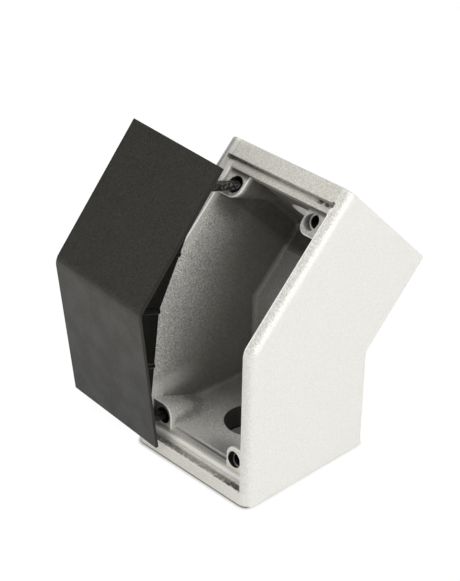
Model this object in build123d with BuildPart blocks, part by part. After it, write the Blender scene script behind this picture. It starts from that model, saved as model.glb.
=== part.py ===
"""Hollow 45 degree corner bracket for slotted framing, with its moulded cover standing half off.

The bracket joins two slotted profiles at an angle. It is one die casting: a bent box
that is open along its two front faces, with a bolt hole through each mounting face.
The cover pushes into the opening with four pins. Here it is as in the photograph: pulled
out, moved one pin spacing to the left and tilted, its right-hand pins in the left bosses.

Frame: origin at the centre of the lower mounting face, on the axis of its bolt hole.
+X to the right, +Y from the open front to the back, +Z up. Millimetres.
"""
from build123d import *
from math import acos, cos, radians, sin, sqrt, tan
import os

os.makedirs("parts", exist_ok=True)

# Casting, outside
bracket_width = 43.0  # over the two side walls
profile_depth = 45.0  # front to back, the size of the profile that it meets
front_height = 47.7  # mounting face to the bend, along the front
bend_angle = 45.0  # between the two mounting faces
bend_radius = 4.5  # rounding of the front along the bend
edge_radius = 3.0  # long outer edges
face_edge_radius = 0.6  # edge of each mounting face

# Casting, walls
side_wall = 2.7  # also the width of the rim beside the cover
pocket_wall_front = 3.3  # side wall of the pocket at its mouth
pocket_wall_back = 3.7  # the same at the back, after the draft
back_wall = 3.7
mounting_wall = 6.9  # the plate that the bolt goes through
pocket_corner_radius = 3.0  # mounting wall to back wall
foot_radius = 1.2  # side walls to mounting wall and back wall

# Opening: a recess for the cover, then a ledge and the throat behind it
end_rim = 4.7  # rim beside the mounting faces
recess_depth = 1.9
ledge_side = 4.3  # outer wall to the throat
ledge_end = 7.5  # mounting face to the throat
ledge_radius = 0.5
throat_depth = 6.3
groove_width = 0.3  # flat bottom of the rough groove between end rim and ledge
groove_depth = 0.8  # below the ledge
groove_slope_radius = 2.0  # the ledge rolls over into the groove

# Pin bosses, one in each corner of the opening
boss_face_depth = 3.0
boss_width = 10.9  # outer wall to the boss's free side
boss_height = 14.8  # mounting face to the top of the boss, at its face
boss_corner_radius = 3.1
boss_edge_radius = 0.4
hole_from_side = 8.0
hole_from_end = 11.0
hole_mouth_radius = 2.2
hole_mouth_depth = 2.3
hole_radius = 1.85

# Bolt holes in the mounting faces
bolt_hole_radius = 7.2

# Cover
cover_end_gap = 0.1  # to the end rim
cover_side_gap = 0.3  # to each side of the recess
cover_thickness = 0.8
web_inset = 2.2  # edge of the cover to the web's outer side
web_thickness = 1.2
web_depth = 8.4  # at the bend, along the pins
web_reach = 35.5  # from the bend along each leg
rib_radius = 0.85
rib_spacing = 17.0  # along each leg from the bend
rib_overhang = 0.1  # past the web's back edge
rib_end_chamfer = 0.3
pin_length = 14.0  # behind the cover
pin_root_radius = 1.55
pin_tip_radius = 1.2
pin_tip_chamfer = 0.5
pin_end_gap = 1.5  # pin tip to the bottom of its hole when the cover is home

# How the cover stands in the photograph, from its seat
cover_pull = 7.38  # out along the pins
cover_slip = 0.1  # to the right, inside the holes
cover_sag = 0.11  # down, inside the holes
cover_turn = 8.19  # about the axis below, through the middle of the left holes
cover_turn_axis = (0.8014, -0.1201, -0.5859)

# Worked out from the sizes above
half_angle = radians(bend_angle) / 2
front = -profile_depth / 2
spare = 5.0  # how far tools and blanks run past the faces they cut
near_enough = 0.01  # when an edge is looked for by its place
bend_plane = Plane(
    origin=(0, front, front_height),
    x_dir=(1, 0, 0),
    z_dir=(0, sin(half_angle), cos(half_angle)),
)
pin_direction = Vector(0, cos(half_angle), -sin(half_angle))  # into the bracket
recess_width = bracket_width - 2 * side_wall
throat_width = bracket_width - 2 * ledge_side
cover_width = recess_width - 2 * cover_side_gap
groove_slope = sqrt(groove_depth * (2 * groove_slope_radius - groove_depth))  # width of the rolled side
hole_spacing = bracket_width - 2 * hole_from_side
sides = (-1, 1)
pin_root_depth = (boss_face_depth - cover_thickness) / cos(half_angle)  # back of the cover to a mouth
hole_depth = pin_length - pin_root_depth + pin_end_gap


def lower(along, depth):
    """Point (y, z) on the lower leg: distance from its mounting face, depth behind its front."""
    return (front + depth, along)


def upper(along, depth):
    """The same point on the upper leg, mirrored in the plane through the bend."""
    y, z = lower(along, depth)
    off = (y - front) * sin(half_angle) + (z - front_height) * cos(half_angle)
    return (y - 2 * off * sin(half_angle), z - 2 * off * cos(half_angle))


def at_bend(depth):
    """Point (y, z) where the two legs meet at this depth."""
    return (front + depth, front_height - depth * tan(half_angle))


def bent_strip(end_inset, near, far):
    """Strip along both front faces, between two depths, its bend rounded like the front."""
    with BuildSketch() as strip:
        with BuildLine():
            Polyline(
                lower(end_inset, near),
                at_bend(near),
                upper(end_inset, near),
                upper(end_inset, far),
                at_bend(far),
                lower(end_inset, far),
                close=True,
            )
        make_face()
        for depth in (near, far):
            if depth < bend_radius:
                corner = vertices().sort_by_distance((*at_bend(depth), 0))[0]
                fillet(corner, bend_radius - depth)
    return strip.sketch


def depth_of(point):
    """How far a point lies behind the front face of its own leg."""
    off = (point.Y - front) * sin(half_angle) + (point.Z - front_height) * cos(half_angle)
    return point.Y - front - 2 * max(off, 0) * sin(half_angle)


def is_ledge_edge(edge):
    """True on the ledge's inner edge, all round the throat."""
    middle = edge.center()
    on_ledge = abs(depth_of(middle) - recess_depth) < (throat_depth - recess_depth) / 4
    at_side = abs(abs(middle.X) - throat_width / 2) < near_enough
    at_end = abs(edge.length - throat_width) < near_enough
    return on_ledge and (at_side or at_end)


def is_boss_rim(point):
    """True on the top and the free side of a boss's face."""
    on_face = abs(point.Y - front - boss_face_depth) < near_enough
    return on_face and point.Z > near_enough and abs(point.X) < bracket_width / 2 - near_enough


def is_pocket_foot(point):
    """True at the foot of a pocket's side wall and where it turns up the back wall."""
    low = point.Z < mounting_wall + pocket_corner_radius
    return low or point.Y > front + profile_depth - back_wall - pocket_corner_radius


both_legs = (lower, upper)
hole_mouths = [
    Vector(side * hole_spacing / 2, *leg(hole_from_end, boss_face_depth))
    for leg in both_legs
    for side in sides
]
pin_roots = [mouth - pin_direction * pin_root_depth for mouth in hole_mouths]
mounting_planes = [
    Plane((0, *lower(0, profile_depth / 2)), x_dir=(1, 0, 0), z_dir=(0, 0, -1)),
    Plane(
        (0, *upper(0, profile_depth / 2)),
        x_dir=(1, 0, 0),
        z_dir=(0, sin(2 * half_angle), cos(2 * half_angle)),
    ),
]

# The space inside the casting, as a core: throat and pocket, less the four bosses
with BuildPart() as lower_pocket:
    pocket_back = profile_depth - back_wall
    mouth_half = bracket_width / 2 - pocket_wall_front
    back_half = bracket_width / 2 - pocket_wall_back
    with BuildSketch(Plane.XY):
        with BuildLine():
            Polyline(
                (-mouth_half, front + throat_depth),
                (mouth_half, front + throat_depth),
                (back_half, front + pocket_back),
                (-back_half, front + pocket_back),
                close=True,
            )
        make_face()
    extrude(amount=front_height)
    with BuildSketch(Plane.YZ):
        with BuildLine():
            Polyline(
                lower(mounting_wall, throat_depth),
                lower(mounting_wall, pocket_back),
                lower(front_height, pocket_back),
                lower(front_height, throat_depth),
                close=True,
            )
        make_face()
        back_corner = vertices().sort_by_distance((*lower(mounting_wall, pocket_back), 0))[0]
        fillet(back_corner, pocket_corner_radius)
    extrude(amount=bracket_width, both=True, mode=Mode.INTERSECT)
    wall_faces = faces().filter_by(lambda f: abs(f.normal_at().X) > 0.9)
    fillet(wall_faces.edges().filter_by(lambda e: is_pocket_foot(e.center())), foot_radius)
    split(bisect_by=bend_plane, keep=Keep.BOTTOM)

with BuildPart() as boss_blocks:
    boss_top = (0, *lower(boss_height, boss_face_depth))
    with BuildSketch(Plane(boss_top, x_dir=(-1, 0, 0), z_dir=pin_direction)):
        for side in sides:
            outer, free = side * bracket_width / 2, side * (bracket_width / 2 - boss_width)
            with BuildLine():
                Polyline((outer, 0), (free, 0), (free, -boss_height), (outer, -boss_height), close=True)
            make_face()
        free_corners = vertices().filter_by(lambda v: abs(v.Y) < near_enough and abs(v.X) < throat_width / 2)
        fillet(free_corners, boss_corner_radius)
    extrude(amount=profile_depth * 2)
    split(bisect_by=Plane.XZ.offset(-(front + boss_face_depth)), keep=Keep.BOTTOM)
    fillet(edges().filter_by(lambda e: is_boss_rim(e.center())), boss_edge_radius)
    mirror(about=bend_plane)

with BuildPart() as core:
    with BuildSketch(Plane.YZ):
        add(bent_strip(ledge_end, recess_depth - spare, throat_depth))
    extrude(amount=throat_width / 2, both=True)
    add(lower_pocket.part)
    add(lower_pocket.part.mirror(bend_plane))
    add(boss_blocks.part, mode=Mode.SUBTRACT)

# The casting
with BuildPart() as legs:
    with BuildSketch(Plane.XY):
        with Locations((0, -spare / 2)):
            Rectangle(bracket_width, profile_depth + spare)
        fillet(vertices().group_by(Axis.Y)[-1], edge_radius)
    extrude(amount=front_height + spare)
    split(bisect_by=bend_plane, keep=Keep.BOTTOM)
    mirror(about=bend_plane)

with BuildPart() as angle_housing:
    with BuildSketch(Plane.YZ):
        add(bent_strip(0, 0, profile_depth + spare))
    extrude(amount=bracket_width / 2, both=True)
    side_faces = faces().filter_by(Axis.X)
    fillet(side_faces.edges().filter_by(lambda e: depth_of(e.center()) < 1), edge_radius)
    add(legs.part, mode=Mode.INTERSECT)
    for mounting_plane in mounting_planes:
        outermost = faces().sort_by(Axis(mounting_plane.origin, mounting_plane.z_dir))[-1]
        fillet(outermost.edges(), face_edge_radius)
    with BuildSketch(Plane.YZ):
        add(bent_strip(end_rim, -spare, recess_depth))
    extrude(amount=recess_width / 2, both=True, mode=Mode.SUBTRACT)
    add(core.part, mode=Mode.SUBTRACT)
    fillet(edges().filter_by(is_ledge_edge), ledge_radius)
    groove_foot = end_rim + groove_width
    groove_top = groove_foot + groove_slope
    slope_middle = acos(1 - groove_depth / groove_slope_radius) / 2
    with BuildSketch(Plane.YZ):
        for leg in both_legs:
            with BuildLine():
                ThreePointArc(
                    leg(groove_foot, recess_depth + groove_depth),
                    leg(
                        groove_top - groove_slope_radius * sin(slope_middle),
                        recess_depth + groove_slope_radius * (1 - cos(slope_middle)),
                    ),
                    leg(groove_top, recess_depth),
                )
                Polyline(
                    leg(groove_top, recess_depth),
                    leg(groove_top, 0),
                    leg(end_rim, 0),
                    leg(end_rim, recess_depth + groove_depth),
                    leg(groove_foot, recess_depth + groove_depth),
                )
            make_face()
    extrude(amount=recess_width / 2, both=True, mode=Mode.SUBTRACT)
    with Locations(*mounting_planes):
        Hole(bolt_hole_radius, depth=mounting_wall + foot_radius)
    with Locations(*[Plane(mouth, x_dir=(1, 0, 0), z_dir=-pin_direction) for mouth in hole_mouths]):
        CounterBoreHole(hole_radius, hole_mouth_radius, hole_mouth_depth, depth=hole_depth)

angle_housing.part.label = "angle_housing"
export_step(angle_housing.part, "parts/angle_housing.step")

# One pin of the cover along +Z, its root sunk into the cover so that it meets the slanting back
with BuildPart() as pin:
    Cylinder(pin_root_radius, pin_root_radius, align=(Align.CENTER, Align.CENTER, Align.MAX))
    Cone(pin_root_radius, pin_tip_radius, pin_length, align=(Align.CENTER, Align.CENTER, Align.MIN))
    chamfer(faces().sort_by(Axis.Z)[-1].edges(), pin_tip_chamfer)


def web_rib(length):
    """Round rib of this length along +Z, its far end chamfered."""
    with BuildPart() as rib:
        Cylinder(rib_radius, length, align=(Align.CENTER, Align.CENTER, Align.MIN))
        chamfer(faces().sort_by(Axis.Z)[-1].edges(), rib_end_chamfer)
    return rib.part


# The cover, first in its seat
with BuildPart() as cover_in_seat:
    with BuildSketch(Plane.YZ):
        add(bent_strip(end_rim + cover_end_gap, 0, cover_thickness))
    extrude(amount=cover_width / 2, both=True)
    for side in sides:
        web_face = side * (cover_width / 2 - web_inset)
        with BuildSketch(Plane.YZ.offset(web_face)):
            with BuildLine():
                Polyline(
                    lower(front_height - web_reach, cover_thickness / 2),
                    at_bend(cover_thickness / 2),
                    upper(front_height - web_reach, cover_thickness / 2),
                    at_bend(web_depth * cos(half_angle)),
                    close=True,
                )
            make_face()
        extrude(amount=-side * web_thickness)
        for leg, from_bend in ((lower, 0), (lower, rib_spacing), (upper, rib_spacing)):
            y, z = leg(front_height - from_bend, 0)
            with Locations(Plane((web_face, y, z), x_dir=(1, 0, 0), z_dir=pin_direction)):
                add(web_rib(web_depth * (1 - from_bend / web_reach) + rib_overhang))
    with Locations(*[Plane(root, x_dir=(1, 0, 0), z_dir=pin_direction) for root in pin_roots]):
        add(pin.part)
    with BuildSketch(Plane.YZ):
        add(bent_strip(0, -spare, 0))
    extrude(amount=cover_width / 2, both=True, mode=Mode.SUBTRACT)

# The cover as it stands: one pin spacing to the left, out along the pins and tilted
with BuildPart() as cover:
    sideways = Vector(cover_slip - hole_spacing, 0, 0)
    outwards = pin_direction * -cover_pull
    downwards = bend_plane.z_dir * -cover_sag
    left_mouths = [mouth for mouth in hole_mouths if mouth.X < 0]
    tilt_axis = Axis((left_mouths[0] + left_mouths[1]) / 2, cover_turn_axis)
    add(cover_in_seat.part.moved(Location(sideways + outwards + downwards)).rotate(tilt_axis, cover_turn))

cover.part.label = "cover"
export_step(cover.part, "parts/cover.step")
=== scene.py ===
import bpy
import math
import numpy as np
from mathutils import Matrix, Vector


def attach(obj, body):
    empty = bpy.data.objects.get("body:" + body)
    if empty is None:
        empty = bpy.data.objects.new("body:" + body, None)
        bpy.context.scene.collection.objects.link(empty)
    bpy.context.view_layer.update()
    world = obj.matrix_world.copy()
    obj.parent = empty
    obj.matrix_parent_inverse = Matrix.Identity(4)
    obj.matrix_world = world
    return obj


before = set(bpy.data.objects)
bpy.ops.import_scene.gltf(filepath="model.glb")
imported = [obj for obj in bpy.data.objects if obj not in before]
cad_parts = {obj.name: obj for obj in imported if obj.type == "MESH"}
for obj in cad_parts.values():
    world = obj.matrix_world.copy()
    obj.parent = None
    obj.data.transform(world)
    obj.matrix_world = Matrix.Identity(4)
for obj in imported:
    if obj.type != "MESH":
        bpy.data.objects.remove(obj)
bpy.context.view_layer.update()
print("frame loaded:", sorted(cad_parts))

mm = 0.001

# the bracket's own lines in mm: its two legs are mirror images about the plane through the bend
bracketLines = {
    "front": -22.5,           # y of the lower leg's front face
    "bendHeight": 47.7,       # z of the front bend
    "halfAngle": math.radians(22.5),
    "depth": 45.0,
    "rimEnd": 4.7,            # rim beside each mounting face
    "recessDepth": 1.9,
    "mountingWall": 6.9,
    "boltRadius": 7.2,
    "bossDepth": 3.0,
    "holeFromEnd": 11.0,
    "holeSpacing": 27.0,
    "holeStep": 2.3,          # from a hole's mouth to its step
    "holeBottom": 13.2,
}


# camera fitted to the photograph: an aim point, the direction and distance back from it, and the lens
cameraSettings = {
    "aim": (0.0210807, -0.0296642, 0.0694032),
    "azimuth": 45.3547,       # degrees
    "elevation": 31.1794,
    "roll": 1.2262,
    "distance": 0.4301802,
    "lens": 113.23,
    "clip": (0.01, 20),
}


def photoCamera(settings):
    azimuth, elevation, roll = (math.radians(settings[k]) for k in ("azimuth", "elevation", "roll"))
    back = Vector((
        math.sin(azimuth) * math.cos(elevation),
        -math.cos(azimuth) * math.cos(elevation),
        math.sin(elevation),
    ))
    level = Vector((0, 0, 1)).cross(back).normalized()
    upright = back.cross(level)
    right = level * math.cos(roll) + upright * math.sin(roll)
    up = upright * math.cos(roll) - level * math.sin(roll)
    data = bpy.data.cameras.new("photoCamera")
    data.lens = settings["lens"]
    data.clip_start, data.clip_end = settings["clip"]
    camera = bpy.data.objects.new("photoCamera", data)
    place = Vector(settings["aim"]) + back * settings["distance"]
    camera.matrix_world = Matrix.Translation(place) @ Matrix((right, up, back)).transposed().to_4x4()
    bpy.context.scene.collection.objects.link(camera)
    bpy.context.scene.camera = camera


photoCamera(cameraSettings)
bpy.context.scene.view_settings.view_transform = "Standard"


# soft studio light: large box lights on the right, in front, above and behind, and the room
lightSettings = {
    "lamps": {
        "keyLight": {"place": (0.70, -0.02, 0.22), "size": 0.55, "power": 4.05},
        "frontLight": {"place": (-0.12, -0.75, 0.30), "size": 0.60, "power": 2.1},
        "topLight": {"place": (-0.02, -0.30, 0.80), "size": 0.55, "power": 2.2},
        "backLight": {"place": (0.08, 0.52, 0.70), "size": 0.60, "power": 2.8},
    },
    "aim": (0, 0, 0.04),
    "roomBright": 0.42,       # from the right and below
    "roomDim": 0.16,          # from the upper left
    "dimSide": (-0.70, -0.55, 0.45),
    "dimRange": (-0.2, 0.9),  # cosine of the angle to that side, from bright to dim
}

# pale floor, in metres: it glows plain white to the camera and still takes the object's shadow
floorSettings = {
    "half": 3.0,
    "white": 0.86,
    "glow": 0.93,             # share of the floor that glows
    "glowStrength": 1.03,
    "underHole": 0.0105,      # radius of the floor seen through the lower bolt hole, painted in shadow
    "underSoft": 0.001,
    "underShadowTone": 0.30,
    "foot": (0.0215, 0.0225, 0.003),   # half width, half depth and corner radius of the bracket's foot
    "contactReach": 0.0008,
    "contactShare": 0.55,
}


def boxLight(name, aim, place, size, power):
    data = bpy.data.lights.new(name, "AREA")
    data.shape = "SQUARE"
    data.size = size
    data.energy = power
    lamp = bpy.data.objects.new(name, data)
    lamp.location = place
    towards = Vector(aim) - Vector(place)
    lamp.rotation_euler = towards.to_track_quat("-Z", "Y").to_euler()
    bpy.context.scene.collection.objects.link(lamp)


def link(tree, source, target):
    tree.links.new(source, target)


def give(tree, value, socket):
    if isinstance(value, bpy.types.NodeSocket):
        link(tree, value, socket)
    else:
        socket.default_value = value


def mathNode(tree, operation, *values, clamp=False):
    node = tree.nodes.new("ShaderNodeMath")
    node.operation = operation
    node.use_clamp = clamp
    for socket, value in zip(node.inputs, values):
        give(tree, value, socket)
    return node.outputs[0]


def vectorNode(tree, operation, *values):
    node = tree.nodes.new("ShaderNodeVectorMath")
    node.operation = operation
    for socket, value in zip(node.inputs, values):
        give(tree, value, socket)
    return node


def rangeNode(tree, value, low, high, toLow=0.0, toHigh=1.0):
    # a smooth step from toLow at low to toHigh at high
    node = tree.nodes.new("ShaderNodeMapRange")
    node.interpolation_type = "SMOOTHSTEP"
    for label, number in (("From Min", low), ("From Max", high), ("To Min", toLow), ("To Max", toHigh)):
        node.inputs[label].default_value = number
    link(tree, value, node.inputs["Value"])
    return node.outputs["Result"]


def inBand(tree, value, low, high, soft):
    # 1 between low and high, with soft ends
    rise = rangeNode(tree, value, low - soft, low + soft)
    fall = rangeNode(tree, value, high - soft, high + soft, 1.0, 0.0)
    return mathNode(tree, "MULTIPLY", rise, fall)


def mixColors(tree, factor, first, second, blend="MIX"):
    node = tree.nodes.new("ShaderNodeMix")
    node.data_type = "RGBA"
    node.blend_type = blend
    for socket, value in ((node.inputs[0], factor), (node.inputs[6], first), (node.inputs[7], second)):
        give(tree, value, socket)
    return node.outputs[2]


def mixValues(tree, factor, first, second):
    node = tree.nodes.new("ShaderNodeMix")
    for socket, value in ((node.inputs[0], factor), (node.inputs[2], first), (node.inputs[3], second)):
        give(tree, value, socket)
    return node.outputs[0]


def larger(tree, *values):
    largest = values[0]
    for value in values[1:]:
        largest = mathNode(tree, "MAXIMUM", largest, value)
    return largest


def multiply(tree, *values):
    product = values[0]
    for value in values[1:]:
        product = mathNode(tree, "MULTIPLY", product, value)
    return product


def anyViewRay(tree):
    # 1 for camera and transmission rays, which see the plain background
    path = tree.nodes.new("ShaderNodeLightPath")
    seen = mathNode(tree, "MAXIMUM", path.outputs["Is Camera Ray"], path.outputs["Is Transmission Ray"])
    return path, seen


def studioWorld(settings):
    world = bpy.data.worlds.new("studio")
    world.use_nodes = True
    tree = world.node_tree
    tree.nodes.clear()
    output = tree.nodes.new("ShaderNodeOutputWorld")
    coords = tree.nodes.new("ShaderNodeTexCoord")
    side = Vector(settings["dimSide"]).normalized()
    dot = vectorNode(tree, "DOT_PRODUCT", coords.outputs["Generated"], side).outputs["Value"]
    fade = rangeNode(tree, dot, *settings["dimRange"], settings["roomBright"], settings["roomDim"])
    room = tree.nodes.new("ShaderNodeBackground")
    link(tree, fade, room.inputs["Strength"])
    white = tree.nodes.new("ShaderNodeBackground")
    white.inputs["Color"].default_value = (1, 1, 1, 1)
    mix = tree.nodes.new("ShaderNodeMixShader")
    seen = anyViewRay(tree)[1]
    link(tree, seen, mix.inputs[0])
    link(tree, room.outputs[0], mix.inputs[1])
    link(tree, white.outputs[0], mix.inputs[2])
    link(tree, mix.outputs[0], output.inputs["Surface"])
    bpy.context.scene.world = world


def paleFloor(settings):
    # a square that diffuses under the bolt hole, where its colour is painted in shadow, and beside the foot,
    # and mostly glows elsewhere
    half = settings["half"]
    mesh = bpy.data.meshes.new("paleFloor")
    corners = [(-half, -half, 0), (half, -half, 0), (half, half, 0), (-half, half, 0)]
    mesh.from_pydata(corners, [], [(0, 1, 2, 3)])
    floor = bpy.data.objects.new("paleFloor", mesh)
    bpy.context.scene.collection.objects.link(floor)
    material = bpy.data.materials.new("paleFloor")
    material.use_nodes = True
    tree = material.node_tree
    tree.nodes.clear()
    output = tree.nodes.new("ShaderNodeOutputMaterial")
    paper = tree.nodes.new("ShaderNodeBsdfDiffuse")
    glow = tree.nodes.new("ShaderNodeEmission")
    glow.inputs["Strength"].default_value = settings["glowStrength"]
    mix = tree.nodes.new("ShaderNodeMixShader")
    path, seen = anyViewRay(tree)
    glossy = mathNode(tree, "MAXIMUM", seen, path.outputs["Is Glossy Ray"])
    place = tree.nodes.new("ShaderNodeTexCoord").outputs["Object"]
    fromHole = vectorNode(tree, "LENGTH", place).outputs["Value"]
    reach = settings["underHole"]
    under = rangeNode(tree, fromHole, reach, reach + settings["underSoft"], 1.0, 0.0)
    white, shade = ((settings[k],) * 3 + (1,) for k in ("white", "underShadowTone"))
    link(tree, mixColors(tree, under, white, shade), paper.inputs["Color"])
    # less glow right beside the foot, so that the contact shadow shows: distance from a rounded rectangle
    halfWidth, halfDepth, corner = settings["foot"]
    fromFoot = vectorNode(tree, "ABSOLUTE", place)
    fromFoot = vectorNode(tree, "SUBTRACT", fromFoot.outputs[0], (halfWidth - corner, halfDepth - corner, 0))
    fromFoot = vectorNode(tree, "MAXIMUM", fromFoot.outputs[0], (0, 0, 0))
    fromFoot = vectorNode(tree, "LENGTH", fromFoot.outputs[0]).outputs["Value"]
    edge = corner + settings["contactReach"]
    contact = rangeNode(tree, fromFoot, corner, edge, settings["contactShare"], 0.0)
    bright = mathNode(tree, "SUBTRACT", settings["glow"], larger(tree, under, contact), clamp=True)
    link(tree, mathNode(tree, "MULTIPLY", glossy, bright), mix.inputs[0])
    link(tree, paper.outputs[0], mix.inputs[1])
    link(tree, glow.outputs[0], mix.inputs[2])
    link(tree, mix.outputs[0], output.inputs["Surface"])
    mesh.materials.append(material)


for lampName, lampValues in lightSettings["lamps"].items():
    boxLight(lampName, lightSettings["aim"], **lampValues)
studioWorld(lightSettings)
paleFloor(floorSettings)
print("camera, floor and light ready")


# shared node groups
def newGroup(name, inputs, outputs):
    group = bpy.data.node_groups.new(name, "ShaderNodeTree")
    for label, kind, value in inputs:
        socket = group.interface.new_socket(name=label, in_out="INPUT", socket_type=kind)
        if value is not None:
            socket.default_value = value
    for label, kind in outputs:
        group.interface.new_socket(name=label, in_out="OUTPUT", socket_type=kind)
    return group, group.nodes.new("NodeGroupInput"), group.nodes.new("NodeGroupOutput")


def placeGroup(tree, group, **values):
    node = tree.nodes.new("ShaderNodeGroup")
    node.node_tree = group
    for label, value in values.items():
        give(tree, value, node.inputs[label.replace("_", " ")])
    return node


def makeFoldedLegs(lines):
    # folds the upper leg on to the lower one: Across is x, Depth is behind the front face,
    # Along is from the mounting face, all in mm; Upper is 1 on the upper leg
    group, given, made = newGroup(
        "foldedLegs",
        [("Place", "NodeSocketVector", None)],
        [(label, "NodeSocketFloat") for label in ("Across", "Depth", "Along", "Upper")],
    )
    s, c = math.sin(lines["halfAngle"]), math.cos(lines["halfAngle"])
    inMm = vectorNode(group, "SCALE", given.outputs["Place"])
    inMm.inputs["Scale"].default_value = 1 / mm
    fromBend = vectorNode(group, "SUBTRACT", inMm.outputs[0], (0, lines["front"], lines["bendHeight"]))
    beyond = vectorNode(group, "DOT_PRODUCT", fromBend.outputs[0], (0, s, c)).outputs["Value"]
    link(group, mathNode(group, "GREATER_THAN", beyond, 0.0), made.inputs["Upper"])
    beyond = mathNode(group, "MAXIMUM", beyond, 0.0)
    parts = group.nodes.new("ShaderNodeSeparateXYZ")
    link(group, fromBend.outputs[0], parts.inputs[0])
    link(group, parts.outputs["X"], made.inputs["Across"])
    link(group, mathNode(group, "MULTIPLY_ADD", beyond, -2 * s, parts.outputs["Y"]), made.inputs["Depth"])
    along = mathNode(group, "MULTIPLY_ADD", beyond, -2 * c, parts.outputs["Z"])
    link(group, mathNode(group, "ADD", along, lines["bendHeight"]), made.inputs["Along"])
    return group


def noiseNode(tree, place, grain, detail=2.0, roughness=0.5):
    # noise with blobs of about this size in mm
    node = tree.nodes.new("ShaderNodeTexNoise")
    node.inputs["Scale"].default_value = 1 / (grain * mm)
    node.inputs["Detail"].default_value = detail
    node.inputs["Roughness"].default_value = roughness
    link(tree, place, node.inputs["Vector"])
    return node.outputs["Fac"]


# fine even grain of a cast, coated or moulded skin: small noise with flatter flakes laid over it
grainSettings = {
    "detail": 2.5,
    "roughness": 0.65,
    "flakeScale": 1.7,       # flakes to one grain
    "flakeShare": 0.45,
}


def makeFineGrain(settings):
    # Speckle is 0 to 1 around 0.5, Height feeds a bump
    group, given, made = newGroup(
        "fineGrain",
        [("Place", "NodeSocketVector", None), ("Grain Size", "NodeSocketFloat", 0.4)],
        [("Speckle", "NodeSocketFloat"), ("Height", "NodeSocketFloat")],
    )
    inGrains = vectorNode(group, "SCALE", given.outputs["Place"])
    link(group, mathNode(group, "DIVIDE", 1 / mm, given.outputs["Grain Size"]), inGrains.inputs["Scale"])
    fine = group.nodes.new("ShaderNodeTexNoise")
    fine.inputs["Scale"].default_value = 1.0
    fine.inputs["Detail"].default_value = settings["detail"]
    fine.inputs["Roughness"].default_value = settings["roughness"]
    link(group, inGrains.outputs[0], fine.inputs["Vector"])
    flakes = group.nodes.new("ShaderNodeTexVoronoi")
    flakes.inputs["Scale"].default_value = settings["flakeScale"]
    link(group, inGrains.outputs[0], flakes.inputs["Vector"])
    tone = group.nodes.new("ShaderNodeSeparateColor")
    link(group, flakes.outputs["Color"], tone.inputs[0])
    flaky = mathNode(group, "MULTIPLY", tone.outputs[0], settings["flakeShare"])
    speckle = mathNode(group, "MULTIPLY_ADD", fine.outputs["Fac"], 1 - settings["flakeShare"], flaky)
    link(group, speckle, made.inputs["Speckle"])
    link(group, fine.outputs["Fac"], made.inputs["Height"])
    return group


foldedLegs = makeFoldedLegs(bracketLines)
fineGrain = makeFineGrain(grainSettings)
print("node groups ready")


def newMaterial(name):
    material = bpy.data.materials.new(name)
    material.use_nodes = True
    tree = material.node_tree
    shader = tree.nodes["Principled BSDF"]
    place = tree.nodes.new("ShaderNodeTexCoord").outputs["Object"]
    return material, tree, shader, place


def addBump(tree, shader, height, distance, strength, below=None):
    # the distance is in mm, and a bump below keeps its effect
    bump = tree.nodes.new("ShaderNodeBump")
    bump.inputs["Strength"].default_value = strength
    bump.inputs["Distance"].default_value = distance * mm
    link(tree, height, bump.inputs["Height"])
    if below is not None:
        link(tree, below, bump.inputs["Normal"])
    link(tree, bump.outputs[0], shader.inputs["Normal"])
    return bump.outputs[0]


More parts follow.
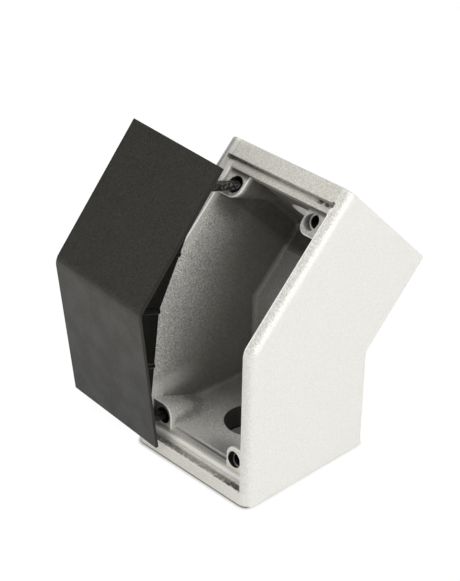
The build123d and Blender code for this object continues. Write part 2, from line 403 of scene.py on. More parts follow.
# light grey powder coat of the casting: full outside, thinning to bare mottled metal inside the hollow,
# where painted shade grows with depth, with painted highlights and painted shade on edges and corners, and
# dark and rough in the grooves at the ends of the recess, partly painted shade
coatSettings = {
    "light": (0.90, 0.888, 0.845, 1),
    "dark": (0.42, 0.413, 0.392, 1),
    "rimTint": (1.0, 0.985, 0.94, 1),
    "edgeSpared": 0.7,       # share of that tint that the long edges are spared
    "grainSize": 0.42,       # mm
    "speckle": (0.28, 0.72, -0.5, 0.5),      # the part of the grain's speckle that counts
    "grain": {
        "outside": 0.14, "lowerRim": 0.20, "upperRim": 0.42,
        "slantedEdge": 0.46, "walls": 1.25, "floor": 0.62,
    },
    "calmBack": (35.0, 40.0, 1.0, 0.35),     # the walls' grain fades towards the back wall
    "middleTone": 0.5,
    "roundedShade": (-0.08, -0.17),   # painted shade on the rounded edges, by this much, lower and upper leg
    "metallic": 0.20,
    "specular": 0.4,
    "roughness": 0.54,
    "smoothGrain": -0.12,    # change of roughness from the coat's dark grains to its light ones
    "roughPatch": 0.25,
    "roughLedge": 0.30,
    "peel": (0.06, 0.7),     # height of the coat's grain, and its strength
    "tear": (0.5, 0.8),      # the same of the dark rough patches
    "bareLight": (0.270, 0.262, 0.240, 1),
    "bareDark": (0.190, 0.183, 0.166, 1),
    "mottleNoise": (1.6, 4.0, 0.6),      # size of its patches in mm, detail and roughness
    "mottleRange": (0.30, 0.72),
    "patchy": (0.3, 0.7, 0.88, 1.12),
    "shadeSlope": 0.6,        # bare metal and painted shade start deeper near the bend, by this much per mm
    "slopeFrom": 20.0,
    "bareAndShadeWall": (-4.0, 30.0),    # depth where bare metal and painted shade start on the walls and where they are full
    "bareAndShadeFloor": (14.0, 30.0),   # the same on the mounting walls
    # the back wall gets less bare metal and painted shade
    "bareAndShadeBack": (39.8, 40.6, 1.0, 0.55),
    "bareAndShadeShare": 0.86,
    # painted shade under the upper ledge, in the bare metal's colour
    "ceilingPaintedShade": 0.97,
    "shade": (0.085, 0.081, 0.071, 1),
    "black": (0.022, 0.021, 0.019, 1),   # painted shade inside the blind holes and the lower bolt hole
    "blackBore": 0.78,
    "paintedLight": (0.98, 0.965, 0.93, 1),      # painted highlight colour, on lit edges and places
    "paintedLightShare": 0.78,
    "grooveDark": (0.085, 0.08, 0.068, 1),
    "patchNoise": (0.9, 5.0, 0.7),
    "grooveDarkShare": 0.88,
    "weakestGrooveDark": 2.5,      # the dark band on the recess wall grows to both sides of here
    "grooveDarkSideways": (1.0, 13.0, 0.66, 1.0),
    "grooveDarkRight": (12.5, 16.0, 0.0, 0.35),
    "darkPatch": (0.38, 0.56, 0.58, 1.0),
    "ragged": (0.3, 0.7, -0.35, 0.35),   # how far the noise shifts an uneven border, mm
}

# where the coat changes. A mask is the product of its terms: the name of a zone, a share, or a range
# in mm along an axis. (axis, low, high) rises from 0 to 1, (axis, low, high, soft) is 1 in between, and
# (axis, low, high, first, last) goes from the first share to the last. The axes are across, from left to
# right; side, away from the middle; depth, behind the front face; along, from the mounting face;
# raggedAlong and raggedDepth, the same with an uneven border; fromBolt, out from the bolt hole's wall;
# beyondWall, past the mounting wall; and patches, the noise of the grooves' dark patches, which has no unit
coatMarks = {
    "zones": {
        "inside": (("side", 19.4, 19.8, 1.0, 0.0), ("depth", 43.0, 43.4, 1.0, 0.0), ("along", 0.6, 1.0)),
        "hollow": ("inside", ("depth", 2.2, 5.0)),
        "nearEnd": (("along", 7.2, 9.0, 1.0, 0.0),),
        "longEdge": (("side", 18.9, 19.3), ("depth", 2.0, 3.0, 1.0, 0.0)),
        "rounded": ("longEdge", ("side", 20.2, 21.2, 1.0, 0.0)),
        "left": (("across", -9.0, -8.0, 1.0, 0.0),),
        "right": (("across", -9.0, -8.0),),
        "lowerBosses": (
            "lower", ("along", 14.9, 15.6, 1.0, 0.0), ("side", 10.0, 10.4), ("side", 17.4, 17.7, 1.0, 0.0),
        ),
        "bossFaces": (
            ("depth", 2.8, 3.035, 0.01), ("along", 7.6, 15.3, 0.1),
            ("side", 10.0, 10.4), ("side", 17.1, 17.3, 1.0, 0.0),
        ),
        "ceiling": ("upper", "inside", ("along", 13.0, 16.5, 1.0, 0.0), ("depth", 3.2, 5.2)),
        "throat": ("lower", ("along", 7.2, 7.66, 0.05), ("side", 17.4, 17.6, 1.0, 0.0)),
        "lowerLedge": (
            "lower", ("depth", 1.80, 2.74, 0.06), ("along", 4.7, 6.4, 0.22, 0.50),
            ("along", 7.45, 7.6, 1.0, 0.0), ("side", 18.7, 18.8, 1.0, 0.0),
        ),
        "bore": (("fromBolt", 0.04, 0.10, 1.0, 0.0), ("beyondWall", 0.1, 0.3, 1.0, 0.0)),
        "pastRim": (("along", 4.5, 4.7),),
        "recess": (("side", 19.0, 19.3, 1.0, 0.0), ("along", 4.3, 4.6), ("depth", 3.2, 3.6, 1.0, 0.0)),
    },
    "outside": {
        "sides": (("side", 20.9, 21.4),),
        "backs": (("depth", 43.5, 44.0),),
        "mountingFaces": (("along", 0.1, 0.5, 1.0, 0.0),),
    },
    # painted highlights: inside of the rims, edges of the ledge, rims of the bosses, all of the lower ledge
    "paintedHighlights": {
        "upperRimEdge": ("upper", ("side", 18.70, 19.0, 0.05), ("depth", 0.15, 0.40, 1.0, 0.0)),
        "leftRimEdge": (
            ("across", -1.0, 1.0, 1.0, 0.0), ("side", 18.70, 19.0, 0.05), ("depth", 0.15, 0.40, 1.0, 0.0),
        ),
        "ledgeEdge": (("side", 17.0, 17.4, 0.08), ("depth", 1.85, 2.35, 0.12)),
        "bossEdge": (
            ("depth", 3.06, 3.45, 0.05), ("along", 7.7, 15.2, 0.1),
            ("side", 10.2, 10.4), ("side", 17.0, 17.2, 1.0, 0.0),
        ),
        "ledge": ("lowerLedge",),
        "wallFoot": (
            "lower", ("along", 5.0, 5.2, 1.0, 0.0), ("depth", 2.25, 2.9, 0.15),
            ("side", 18.7, 18.9, 1.0, 0.0), 0.90,
        ),
    },
    # lit more than the solids alone would be
    "bright": {
        "bossTops": ("lowerBosses", "inside", ("depth", 2.9, 3.2), ("depth", 9.0, 17.0, 0.34, 0.0)),
        "bossFeet": (
            "lower", "inside", ("side", 10.0, 10.9, 0.1), ("along", 6.95, 7.3, 0.08),
            ("depth", 6.5, 7.5), 0.35,
        ),
        "backCorner": ("inside", ("depth", 40.0, 40.35, 0.1), ("across", -16.0, -15.0, 0.16, 0.0)),
        "sideLedge": ("upper", "left", ("side", 17.3, 18.75, 0.08), ("depth", 2.4, 2.6, 1.0, 0.0), 0.70),
        "aboveBoss": (
            "lower", "left", "inside", ("along", 13.6, 19.0, 1.6), ("depth", 8.0, 22.0, 0.55, 0.0),
        ),
        "floorFront": (
            "lower", "nearEnd", "hollow", ("depth", 8.0, 18.0, 0.40, 0.0), ("across", -4.0, 6.0, 1.0, 0.0),
        ),
        "lowerRim": (
            "lower", ("along", 4.6, 4.75, 1.0, 0.0), ("depth", 0.4, 1.0, 1.0, 0.0),
            ("across", 4.0, 17.5, 0.0, 0.16),
        ),
        "lip": (
            "lower", ("along", 4.25, 4.55), ("depth", 0.10, 0.35, 1.0, 0.0),
            ("side", 18.7, 18.9, 1.0, 0.0), 0.45,
        ),
        "upperBore": ("bore", "upper"),
    },
    # in shade: the bosses, the line at the throat's foot, below the upper ledge, and along the base
    "shaded": {
        "bossPatches": (
            "lowerBosses", "inside", ("depth", 3.6, 5.4), ("raggedAlong", 8.3, 10.6, 0.9), 0.46,
        ),
        "throatFade": (
            "throat", ("depth", 2.8, 3.8, 0.0, 0.38), ("depth", 4.8, 5.4, 1.0, 0.0),
            ("across", -10.0, 1.0, 0.25, 1.0),
        ),
        "throatFoot": ("throat", ("depth", 4.50, 5.30, 0.3), ("across", -12.0, 1.0, 0.3, 0.92)),
        "frontCrease": ("throat", ("depth", 2.18, 2.42, 0.08), ("across", -11.0, -5.5, 0.85, 0.0)),
        "backCrease": ("throat", ("depth", 2.78, 3.0, 0.08), ("across", -11.0, -5.5, 0.85, 0.0)),
        "upperCorner": (
            "upper", ("depth", 2.2, 3.2, 0.2), ("along", 7.2, 7.4), ("along", 7.9, 9.3, 1.0, 0.0),
            ("side", 16.8, 17.3, 1.0, 0.0), 0.90,
        ),
        "upperLedge": (
            "upper", ("along", 5.4, 7.7, 0.3), ("depth", 1.6, 2.4, 0.1),
            ("side", 18.5, 18.8, 1.0, 0.0), 0.09,
        ),
        "ceilingShade": ("ceiling", 0.18),
        "coveredFace": ("bossFaces", "lower", "left", ("along", 8.6, 11.2, 0.35, 0.93)),
        "upperRightFace": ("bossFaces", "upper", "right", 0.30),
        "upperLeftFace": ("bossFaces", "upper", "left", 0.04),
        "underPin": (
            "bossFaces", "upper", "left", ("along", 11.8, 13.2), ("side", 13.2, 14.4, 0.0, 0.70),
        ),
        "upperLeftSide": (
            "upper", "inside", "left", ("side", 10.0, 10.3), ("side", 17.0, 17.4, 1.0, 0.0),
            ("along", 15.0, 15.6, 1.0, 0.0), ("depth", 3.5, 5.6, 0.0, 0.50),
        ),
        "besideBoss": (
            "upper", "inside", "left", ("side", 16.6, 17.2), ("along", 15.5, 21.5, 0.72, 0.0),
            ("depth", 2.9, 5.0, 0.3, 1.0), ("depth", 12.0, 22.0, 1.0, 0.0),
        ),
        "floorFoot": (
            "lower", "nearEnd", "inside", ("depth", 6.0, 6.3), ("depth", 8.5, 15.0, 0.55, 0.0),
            ("across", -7.0, 5.0),
        ),
        "base": ("lower", ("along", 0.60, 1.00, 0.85, 0.0), ("side", 20.6, 21.3, 1.0, 0.0)),
    },
    # dark rough patches: a ragged band on the lower recess wall, and painted shade in the bottom of the
    # upper groove and under its curls, darker at its tips
    "darkGrooves": {
        "recessWall": (
            "lower", "towardsEnds", ("along", 4.8, 5.0, 1.0, 0.0),
            ("raggedDepth", 0.08, 0.45), ("raggedDepth", 1.60, 2.40, 1.0, 0.0),
        ),
        # painted shade in the bottom of the upper groove
        "upperGroove": (
            "upper", ("depth", 0.3, 0.8), ("along", 4.6, 5.35, 0.3), ("across", -14.0, 3.0, 1.0, 0.50),
        ),
        "leftTip": (
            "upper", ("depth", 0.2, 0.6), ("along", 4.3, 5.65, 0.2), ("across", -18.4, -15.2, 1.0, 0.0),
        ),
        "rightTip": ("upper", ("along", 4.3, 5.9, 0.2), ("across", 18.0, 18.5), 1.5),
        # painted shade under the curls
        "underCurls": (
            "upper", ("across", 12.2, 17.4, 0.5), ("along", 4.9, 6.0, 0.2), ("patches", 0.47, 0.53), 1.1,
        ),
    },
    # painted shade in the pin holes, and a painted highlight on the step of an upper one. In a pin hole: off
    # is sideways from its axis, high above it and reach away from it, inwards from its mouth, pastStep and
    # pastBottom past its step and bottom, and behindFace behind the boss's face
    "pinHoles": {
        "bored": (("reach", 2.30, 2.34, 1.0, 0.0), ("pastBottom", 0.0, 0.1, 1.0, 0.0)),
        "within": ("bored", ("inwards", 0.02, 0.06)),
        "step": (("pastStep", -0.08, 0.06, 0.03),),
        "stepLit": ("step", 0.55),
        "lowerDark": (("inwards", -0.1, 0.45),),
        "farSide": (("off", -0.5, 0.9),),
        "roof": (("high", -1.2, 1.6, 0.48, 0.05),),
        "bottom": (("pastStep", 0.05, 0.40),),
        "filled": ("bored", ("across", -1.0, 1.0, 1.0, 0.0), ("behindFace", 0.03, 0.06)),
    },
}


def maskOf(tree, fields, terms):
    # the product of a mask's terms
    factors = []
    for term in terms:
        if isinstance(term, str):
            factors.append(fields[term])
        elif isinstance(term, tuple):
            axis, *limits = term
            shape = inBand if len(limits) == 3 else rangeNode
            factors.append(shape(tree, fields[axis], *limits))
        else:
            factors.append(term)
    return multiply(tree, *factors)


def anyOf(tree, fields, masks):
    # the strongest of several masks
    return larger(tree, *(maskOf(tree, fields, terms) for terms in masks.values()))


def pinHoleMasks(tree, fields, marks, lines):
    # painted shade in the pin holes, and a painted highlight on the step inside an upper one. A lower hole
    # is shaded all round, an upper one on its far side, roof and bottom, and the left ones, with pins, all
    # the way in
    s, c = math.sin(lines["halfAngle"]), math.cos(lines["halfAngle"])
    depth = mathNode(tree, "SUBTRACT", fields["depth"], lines["bossDepth"])
    along = mathNode(tree, "SUBTRACT", fields["along"], lines["holeFromEnd"])
    off = mathNode(tree, "SUBTRACT", fields["side"], lines["holeSpacing"] / 2)
    high = mathNode(tree, "MULTIPLY_ADD", along, c, mathNode(tree, "MULTIPLY", depth, s))
    inwards = mathNode(tree, "MULTIPLY_ADD", along, -s, mathNode(tree, "MULTIPLY", depth, c))
    squares = mathNode(tree, "ADD", multiply(tree, off, off), multiply(tree, high, high))
    reach = mathNode(tree, "SQRT", squares)
    hole = {"off": off, "high": high, "inwards": inwards, "reach": reach, "behindFace": depth}
    hole["across"] = fields["across"]
    hole["pastStep"] = mathNode(tree, "SUBTRACT", inwards, lines["holeStep"])
    hole["pastBottom"] = mathNode(tree, "SUBTRACT", inwards, lines["holeBottom"])
    for name, terms in marks.items():
        hole[name] = maskOf(tree, hole, terms)
    lower = multiply(tree, hole["lowerDark"], mathNode(tree, "SUBTRACT", 1.0, hole["stepLit"]))
    ring = multiply(tree, hole["step"], hole["within"], fields["upper"])
    upper = larger(tree, hole["farSide"], hole["roof"], hole["bottom"])
    upper = mathNode(tree, "SUBTRACT", upper, ring, clamp=True)
    dark = multiply(tree, hole["within"], mixValues(tree, fields["upper"], lower, upper))
    return larger(tree, dark, hole["filled"]), ring


def coatFields(tree, place, settings, marks, lines):
    # the coat's axes, legs and zones by name
    folded = placeGroup(tree, foldedLegs, Place=place).outputs
    fields = {label.lower(): folded[label] for label in ("Across", "Depth", "Along", "Upper")}
    across, depth, along = fields["across"], fields["depth"], fields["along"]
    fields["lower"] = mathNode(tree, "SUBTRACT", 1.0, fields["upper"])
    fields["side"] = mathNode(tree, "ABSOLUTE", across)
    fields["patches"] = noiseNode(tree, place, *settings["patchNoise"])
    fields["mottle"] = noiseNode(tree, place, *settings["mottleNoise"])
    raggedAlong = rangeNode(tree, fields["mottle"], *settings["ragged"])
    raggedDepth = rangeNode(tree, fields["patches"], *settings["ragged"])
    fields["raggedAlong"] = mathNode(tree, "ADD", along, raggedAlong)
    fields["raggedDepth"] = mathNode(tree, "ADD", depth, raggedDepth)
    middle = tree.nodes.new("ShaderNodeCombineXYZ")
    link(tree, across, middle.inputs["X"])
    link(tree, mathNode(tree, "SUBTRACT", depth, lines["depth"] / 2), middle.inputs["Y"])
    fromAxis = vectorNode(tree, "LENGTH", middle.outputs[0]).outputs["Value"]
    fields["fromBolt"] = mathNode(tree, "SUBTRACT", fromAxis, lines["boltRadius"])
    fields["beyondWall"] = mathNode(tree, "SUBTRACT", along, lines["mountingWall"])
    fromWeakest = mathNode(tree, "ABSOLUTE", mathNode(tree, "SUBTRACT", across, settings["weakestGrooveDark"]))
    sideways = rangeNode(tree, fromWeakest, *settings["grooveDarkSideways"])
    rightEnd = rangeNode(tree, across, *settings["grooveDarkRight"])
    fields["towardsEnds"] = mathNode(tree, "ADD", sideways, rightEnd)
    for name, terms in marks["zones"].items():
        fields[name] = maskOf(tree, fields, terms)
    fields["outside"] = anyOf(tree, fields, marks["outside"])
    return fields


def coatGrain(tree, place, fields, settings):
    # the coat's colour, its tone, and the height and strength of its grain: coarsest inside and on the
    # slanted edge, nearly none outside
    upper, hollow = fields["upper"], fields["hollow"]
    grain = settings["grain"]
    strength = mixValues(tree, upper, grain["lowerRim"], grain["upperRim"])
    strength = mixValues(tree, multiply(tree, fields["longEdge"], upper), strength, grain["slantedEdge"])
    walls = multiply(tree, rangeNode(tree, fields["depth"], *settings["calmBack"]), grain["walls"])
    strength = mixValues(tree, hollow, strength, mixValues(tree, fields["nearEnd"], walls, grain["floor"]))
    strength = mixValues(tree, fields["outside"], strength, grain["outside"])
    skin = placeGroup(tree, fineGrain, Place=place, Grain_Size=settings["grainSize"]).outputs
    speckle = rangeNode(tree, skin["Speckle"], *settings["speckle"])
    tone = mathNode(tree, "MULTIPLY_ADD", speckle, strength, settings["middleTone"])
    # painted shade on the rounded edges
    darker = multiply(tree, fields["rounded"], mixValues(tree, upper, *settings["roundedShade"]))
    coat = mixColors(tree, mathNode(tree, "ADD", darker, tone), settings["dark"], settings["light"])
    edges = multiply(tree, fields["longEdge"], settings["edgeSpared"])
    rims = mathNode(tree, "SUBTRACT", 1.0, larger(tree, fields["outside"], hollow, edges), clamp=True)
    coat = mixColors(tree, rims, coat, settings["rimTint"], "MULTIPLY")
    return coat, tone, skin["Height"], strength


def bareMetalAndShade(tree, fields, settings):
    # share of bare metal together with painted shade: on the walls both start deeper near the bend, on the
    # mounting walls and the bosses they grow by depth alone, and the ceiling under the upper ledge gets
    # almost the full bare colour as painted shade
    toBend = mathNode(tree, "SUBTRACT", fields["along"], settings["slopeFrom"])
    inward = mathNode(tree, "MULTIPLY_ADD", toBend, -settings["shadeSlope"], fields["depth"])
    onWalls = rangeNode(tree, inward, *settings["bareAndShadeWall"])
    byDepth = rangeNode(tree, fields["depth"], *settings["bareAndShadeFloor"])
    deepShare = mixValues(tree, larger(tree, fields["nearEnd"], fields["lowerBosses"]), onWalls, byDepth)
    deepShare = multiply(tree, deepShare, rangeNode(tree, fields["depth"], *settings["bareAndShadeBack"]))
    patchy = rangeNode(tree, fields["mottle"], *settings["patchy"])
    bareAndShade = multiply(tree, deepShare, patchy, fields["hollow"], settings["bareAndShadeShare"])
    return larger(tree, bareAndShade, multiply(tree, fields["ceiling"], settings["ceilingPaintedShade"]))


def powderCoat(settings, marks, lines):
    material, tree, shader, place = newMaterial("powderCoat")
    fields = coatFields(tree, place, settings, marks, lines)
    coat, tone, height, strength = coatGrain(tree, place, fields, settings)
    metal = rangeNode(tree, fields["mottle"], *settings["mottleRange"])
    metal = mixColors(tree, metal, settings["bareDark"], settings["bareLight"])
    # bare metal inside the hollow, which also carries painted shade that deepens with depth
    color = mixColors(tree, bareMetalAndShade(tree, fields, settings), coat, metal)

    # painted highlights and painted light, then painted shade
    pinHole, pinStep = pinHoleMasks(tree, fields, marks["pinHoles"], lines)
    paintedLight = multiply(tree, anyOf(tree, fields, marks["paintedHighlights"]), fields["pastRim"], settings["paintedLightShare"])
    paintedLight = larger(tree, paintedLight, anyOf(tree, fields, marks["bright"]), pinStep)
    color = mixColors(tree, paintedLight, color, settings["paintedLight"])
    color = mixColors(tree, anyOf(tree, fields, marks["shaded"]), color, settings["shade"])

    # dark rough patches in the grooves, partly painted shade, and painted shade in the holes
    darkGrooves = multiply(tree, anyOf(tree, fields, marks["darkGrooves"]), fields["recess"])
    darkPatch = multiply(tree, darkGrooves, rangeNode(tree, fields["patches"], *settings["darkPatch"]))
    color = mixColors(tree, multiply(tree, darkPatch, settings["grooveDarkShare"]), color, settings["grooveDark"])
    black = larger(tree, pinHole, multiply(tree, fields["bore"], fields["lower"], settings["blackBore"]))
    color = mixColors(tree, black, color, settings["black"])
    link(tree, color, shader.inputs["Base Color"])

    shader.inputs["Metallic"].default_value = settings["metallic"]
    shader.inputs["Specular IOR Level"].default_value = settings["specular"]
    rough = mathNode(tree, "MULTIPLY_ADD", tone, settings["smoothGrain"], settings["roughness"])
    rough = mathNode(tree, "MULTIPLY_ADD", darkPatch, settings["roughPatch"], rough, clamp=True)
    rough = mathNode(tree, "MULTIPLY_ADD", fields["lowerLedge"], settings["roughLedge"], rough, clamp=True)
    link(tree, larger(tree, rough, black), shader.inputs["Roughness"])
    below = addBump(tree, shader, multiply(tree, height, strength), *settings["peel"])
    addBump(tree, shader, multiply(tree, fields["patches"], darkGrooves), *settings["tear"], below=below)
    return material


# dark grey moulded plastic of the cover: a matte finely textured plate, smoother and blacker behind, with
# painted light and shade on the plate below the bend, and painted highlights on the pins
plasticSettings = {
    "plate": (0.0150, 0.0141, 0.0106, 1),
    "fleck": (0.0375, 0.0352, 0.0270, 1),
    "flecks": (0.32, 0.70),
    "speck": (0.16, 0.16, 0.15, 1),      # a few tiny light specks
    "specks": (0.76, 0.80, 0.0, 0.7),
    "speckNoise": (0.5, 1.0),            # size in mm and detail
    "edge": (17.9, 18.2, 0.0, 0.6),      # a darker strip along the plate's sides, from its middle
    "belowBendLight": (0.135, 0.133, 0.126, 1),    # painted light: greyer below the bend
    "belowBendLightShare": 0.125,
    "lowEndShade": (0.0, 42.0, 0.5, 0.0),     # and painted shade, darker again towards the lower end
    "plateThickness": 0.8,
    "behind": (0.02, 0.10),  # from the plate's back face
    "back": (0.006, 0.006, 0.0056, 1),
    "pin": (0.008, 0.008, 0.0072, 1),
    "pinReach": (14.9, 15.05, 1.0, 0.0),
    "dentNoise": (0.75, 2.0),            # dents along the pins
    # painted highlights on the pins, stronger on the upper one
    "pinGlint": (0.13, 0.128, 0.12, 1),
    "pinGlints": (0.54, 0.66, 0.0, 0.75),
    "pinGlintShare": (0.2, 1.0),            # lower and upper leg
    "grainSize": 0.35,
    "plateRoughness": 0.56,
    "smearNoise": (6.0, 3.0),
    "smears": (0.3, 0.7, -0.05, 0.05),   # how much the plate's roughness varies
    "backRoughness": 0.12,
    "pinRoughness": 0.16,
    "specular": 0.40,
    "texture": (0.05, 0.8),  # height of the plate's grain, and its strength
    "pinTexture": 2.6,       # the pins' grain against the plate's
    "dents": (0.45, 0.9),
}

# how the cover stands, from its seat, as in the solids
coverPlace = {
    "pull": 7.38,
    "slip": 0.1,
    "sag": 0.11,
    "turn": 8.19,             # degrees
    "turnAxis": (0.8014, -0.1201, -0.5859),
}


def coverToSeat(given, lines):
    # the turn and shift that bring a point of the standing cover back to its seat, in mm
    s, c = math.sin(lines["halfAngle"]), math.cos(lines["halfAngle"])
    y, z = lines["front"] + lines["bossDepth"], lines["holeFromEnd"]
    off = (y - lines["front"]) * s + (z - lines["bendHeight"]) * c
    pivot = Vector((-lines["holeSpacing"] / 2, y - off * s, z - off * c))
    moved = Vector((given["slip"] - lines["holeSpacing"], 0, 0))
    moved += Vector((0, c, -s)) * -given["pull"] + Vector((0, s, c)) * -given["sag"]
    back = Matrix.Rotation(-math.radians(given["turn"]), 3, Vector(given["turnAxis"]).normalized())
    return back, pivot - back @ pivot - moved


def coverPlastic(settings, standing, lines):
    material, tree, shader, place = newMaterial("coverPlastic")
    turn, shift = coverToSeat(standing, lines)
    seat = tree.nodes.new("ShaderNodeMapping")
    seat.inputs["Rotation"].default_value = turn.to_euler()
    seat.inputs["Location"].default_value = shift * mm
    link(tree, place, seat.inputs["Vector"])
    folded = placeGroup(tree, foldedLegs, Place=seat.outputs[0]).outputs
    grain = placeGroup(tree, fineGrain, Place=place, Grain_Size=settings["grainSize"]).outputs
    fromBack = mathNode(tree, "SUBTRACT", folded["Depth"], settings["plateThickness"])
    behind = rangeNode(tree, fromBack, *settings["behind"])
    side = mathNode(tree, "ABSOLUTE", folded["Across"])
    lower = mathNode(tree, "SUBTRACT", 1.0, folded["Upper"])

    # plate: flecks and specks, darker along its sides, painted light below the bend and painted shade
    # towards the lower end
    plate = rangeNode(tree, grain["Speckle"], *settings["flecks"])
    plate = mixColors(tree, plate, settings["plate"], settings["fleck"])
    specks = rangeNode(tree, noiseNode(tree, place, *settings["speckNoise"]), *settings["specks"])
    plate = mixColors(tree, specks, plate, settings["speck"])
    plate = mixColors(tree, rangeNode(tree, side, *settings["edge"]), plate, settings["back"])
    plate = mixColors(tree, multiply(tree, lower, settings["belowBendLightShare"]), plate, settings["belowBendLight"])
    lowEndShade = multiply(tree, rangeNode(tree, folded["Along"], *settings["lowEndShade"]), lower)
    plate = mixColors(tree, lowEndShade, plate, settings["back"])

    # webs, ribs and pins behind it, with painted highlights on the pins
    pins = multiply(tree, behind, rangeNode(tree, side, *settings["pinReach"]))
    dents = noiseNode(tree, place, *settings["dentNoise"])
    pinGlints = rangeNode(tree, dents, *settings["pinGlints"])
    pinGlints = multiply(tree, pinGlints, mixValues(tree, folded["Upper"], *settings["pinGlintShare"]))
    rear = mixColors(tree, pinGlints, settings["pin"], settings["pinGlint"])
    rear = mixColors(tree, pins, settings["back"], rear)
    link(tree, mixColors(tree, behind, plate, rear), shader.inputs["Base Color"])

    shader.inputs["Specular IOR Level"].default_value = settings["specular"]
    smears = rangeNode(tree, noiseNode(tree, place, *settings["smearNoise"]), *settings["smears"])
    rough = mathNode(tree, "ADD", smears, settings["plateRoughness"])
    gloss = mathNode(tree, "MULTIPLY", behind, settings["plateRoughness"] - settings["backRoughness"])
    rough = mathNode(tree, "SUBTRACT", rough, gloss)
    link(tree, mixValues(tree, pins, rough, settings["pinRoughness"]), shader.inputs["Roughness"])
    front = mathNode(tree, "SUBTRACT", 1.0, behind)
    textured = larger(tree, front, multiply(tree, pins, settings["pinTexture"]))
    height = multiply(tree, grain["Height"], textured)
    below = addBump(tree, shader, height, *settings["texture"])
    addBump(tree, shader, multiply(tree, dents, pins), *settings["dents"], below=below)
    return material


def dress(node, material):
    mesh = node.data
    if not mesh.materials:
        mesh.materials.append(material)
    for index in range(len(mesh.materials)):
        mesh.materials[index] = material


coat = powderCoat(coatSettings, coatMarks, bracketLines)
plastic = coverPlastic(plasticSettings, coverPlace, bracketLines)
dress(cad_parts["angle_housing"], coat)
dress(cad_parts["cover"], plastic)
print("materials ready")


# casting flash: small closed tubes laid along paths on the bracket's own faces, all in mm. Rings is how
# many rings of points a tube has and how many points each ring has. A bead is its place across, its depth
# and its size, and a curl its place across and along and its size
flashSettings = {
    "strips": {
        "lowerStrip": {"upper": False, "depth": 0.75, "along": 4.64, "thick": (0.02, 0.26), "seed": 4},
        "upperStrip": {"upper": True, "depth": 2.70, "along": 5.05, "thick": (0.02, 0.20), "seed": 9},
    },
    "stripSpan": (-18.4, 18.4),
    "stripRings": (260, 10),
    "beads": ((3.2, 0.9, 0.30), (9.2, 0.8, 0.36), (14.1, 1.0, 0.26), (-6.0, 1.2, 0.20)),
    "beadRings": (9, 12),
    "beadThick": (0.7, 1.1),         # shares of its size
    "beadSeed": 20,
    "curls": ((13.3, 5.35, 0.36), (14.7, 5.45, 0.26), (16.5, 5.25, 0.20)),
    "curlRings": (22, 8),
    "curlTurn": (0.4, 5.2),          # radians
    "curlRise": 0.02,                # mm per radian, so that its ends pass each other
    "curlDepth": 0.26,               # below the recess
    "curlThick": (0.05, 0.11),
    "curlSeed": 40,
    "mouldLine": {"across": 18.95, "depth": 0.0, "along": (0.75, 4.6), "thick": (0.063, 0.09), "seed": 60},
    "mouldLineRings": (40, 8),
    "ends": {"angle": 0.12, "power": 0.35, "reach": 0.4},   # how a tube thins, and its tips in radii
}


def onLeg(across, depth, along, upper, lines):
    # a point beside the lower leg's mounting face, mirrored about the bend's plane for the upper leg
    point = np.stack(np.broadcast_arrays(across, lines["front"] + depth, along), -1).astype(float)
    if upper:
        plane = np.array([0, math.sin(lines["halfAngle"]), math.cos(lines["halfAngle"])])
        off = point @ plane - (lines["front"] * plane[1] + lines["bendHeight"] * plane[2])
        point = point - 2 * off[:, None] * plane
    return point * mm


def unevenRadius(rings, thick, seed):
    # a smooth random radius along the tube and round it: the sum of five waves that are the same all
    # round, five with one crest round the tube and five with two, scaled to run from low to high. Each
    # has between 2 and a fifth of the rings + 3 crests along the tube, and a phase of its own
    random = np.random.default_rng(seed)
    count, around = rings
    low, high = thick
    t = np.linspace(0, 1, count)[:, None]
    a = np.linspace(0, 2 * np.pi, around, endpoint=False)[None, :]
    waves = np.zeros((count, around))
    for turns in (0, 1, 2):
        for speed in random.uniform(2, count / 5 + 3, 5):
            waves += np.sin(2 * np.pi * speed * t + turns * a + random.uniform(0, 6.3))
    waves = (waves - waves.min()) / (waves.max() - waves.min())
    return (low + (high - low) * waves) * mm


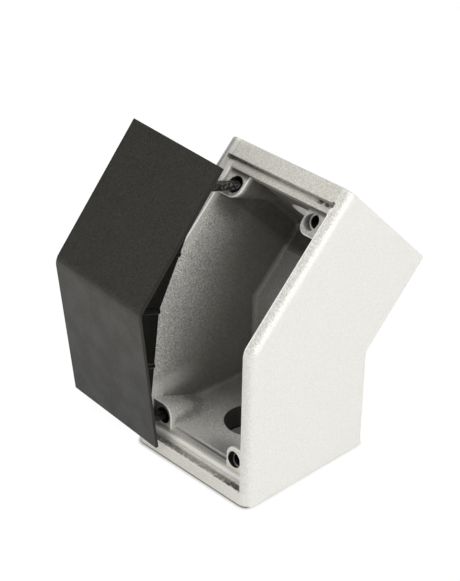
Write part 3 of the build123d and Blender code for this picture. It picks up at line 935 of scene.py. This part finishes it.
def closedTube(name, path, radius, ends):
    # a ring of points round each point of the path, at path + radius (cos a first + sin a second), where
    # first and second are square to the path. The radius shrinks as a power of a sine towards both ends,
    # and a point a little further on closes each end
    count, around = radius.shape
    along = np.gradient(path, axis=0)
    along /= np.linalg.norm(along, axis=1)[:, None]
    first = np.cross(along, np.array([0.31, 0.47, 0.83]))   # a direction that no path runs along
    first /= np.linalg.norm(first, axis=1)[:, None]
    second = np.cross(along, first)
    a = np.linspace(0, 2 * np.pi, around, endpoint=False)
    taper = np.sin(np.linspace(ends["angle"], np.pi - ends["angle"], count)) ** ends["power"]
    ring = np.cos(a)[None, :, None] * first[:, None] + np.sin(a)[None, :, None] * second[:, None]
    rings = path[:, None] + ring * (radius * taper[:, None])[..., None]
    reach = radius.mean(axis=1)[:, None] * ends["reach"]
    tips = np.stack([path[0] - along[0] * reach[0], path[-1] + along[-1] * reach[-1]])
    vertices = np.concatenate([rings.reshape(-1, 3), tips])
    i, j = (g.ravel() for g in np.meshgrid(np.arange(count - 1), np.arange(around), indexing="ij"))
    k = (j + 1) % around
    sides = np.stack([i * around + j, i * around + k, (i + 1) * around + k, (i + 1) * around + j], -1)
    j = np.arange(around)
    k = (j + 1) % around
    last = (count - 1) * around
    startCap = np.stack([np.full(around, count * around), k, j], -1)
    endCap = np.stack([np.full(around, count * around + 1), last + j, last + k], -1)
    mesh = bpy.data.meshes.new(name)
    mesh.from_pydata(vertices.tolist(), [], sides.tolist() + startCap.tolist() + endCap.tolist())
    mesh.polygons.foreach_set("use_smooth", np.ones(len(mesh.polygons), dtype=bool))
    mesh.materials.append(coat)
    piece = bpy.data.objects.new(name, mesh)
    bpy.context.scene.collection.objects.link(piece)
    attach(piece, "root")


def castingFlash(settings, lines):
    # a strip along each groove, beads on the lower recess wall, curls at the right end of the upper
    # groove, each an arc that rises as it turns, and the mould line at the right end of the upper rim
    for name, strip in settings["strips"].items():
        across = np.linspace(*settings["stripSpan"], settings["stripRings"][0])
        path = onLeg(across, strip["depth"], strip["along"], strip["upper"], lines)
        radius = unevenRadius(settings["stripRings"], strip["thick"], strip["seed"])
        closedTube(name, path, radius, settings["ends"])
    for index, (across, depth, size) in enumerate(settings["beads"]):
        run = np.linspace(across - size, across + size, settings["beadRings"][0])
        path = onLeg(run, depth, lines["rimEnd"], False, lines)
        thick = [size * share for share in settings["beadThick"]]
        radius = unevenRadius(settings["beadRings"], thick, index + settings["beadSeed"])
        closedTube(f"bead{index}", path, radius, settings["ends"])
    for index, (across, along, size) in enumerate(settings["curls"]):
        turn = np.linspace(*settings["curlTurn"], settings["curlRings"][0])
        depth = lines["recessDepth"] + settings["curlDepth"] + settings["curlRise"] * turn
        path = onLeg(across + size * np.cos(turn), depth, along + size * np.sin(turn), True, lines)
        radius = unevenRadius(settings["curlRings"], settings["curlThick"], index + settings["curlSeed"])
        closedTube(f"curl{index}", path, radius, settings["ends"])
    line = settings["mouldLine"]
    along = np.linspace(*line["along"], settings["mouldLineRings"][0])
    path = onLeg(line["across"], line["depth"], along, True, lines)
    radius = unevenRadius(settings["mouldLineRings"], line["thick"], line["seed"])
    closedTube("mouldLine", path, radius, settings["ends"])


castingFlash(flashSettings, bracketLines)
print("casting flash ready")
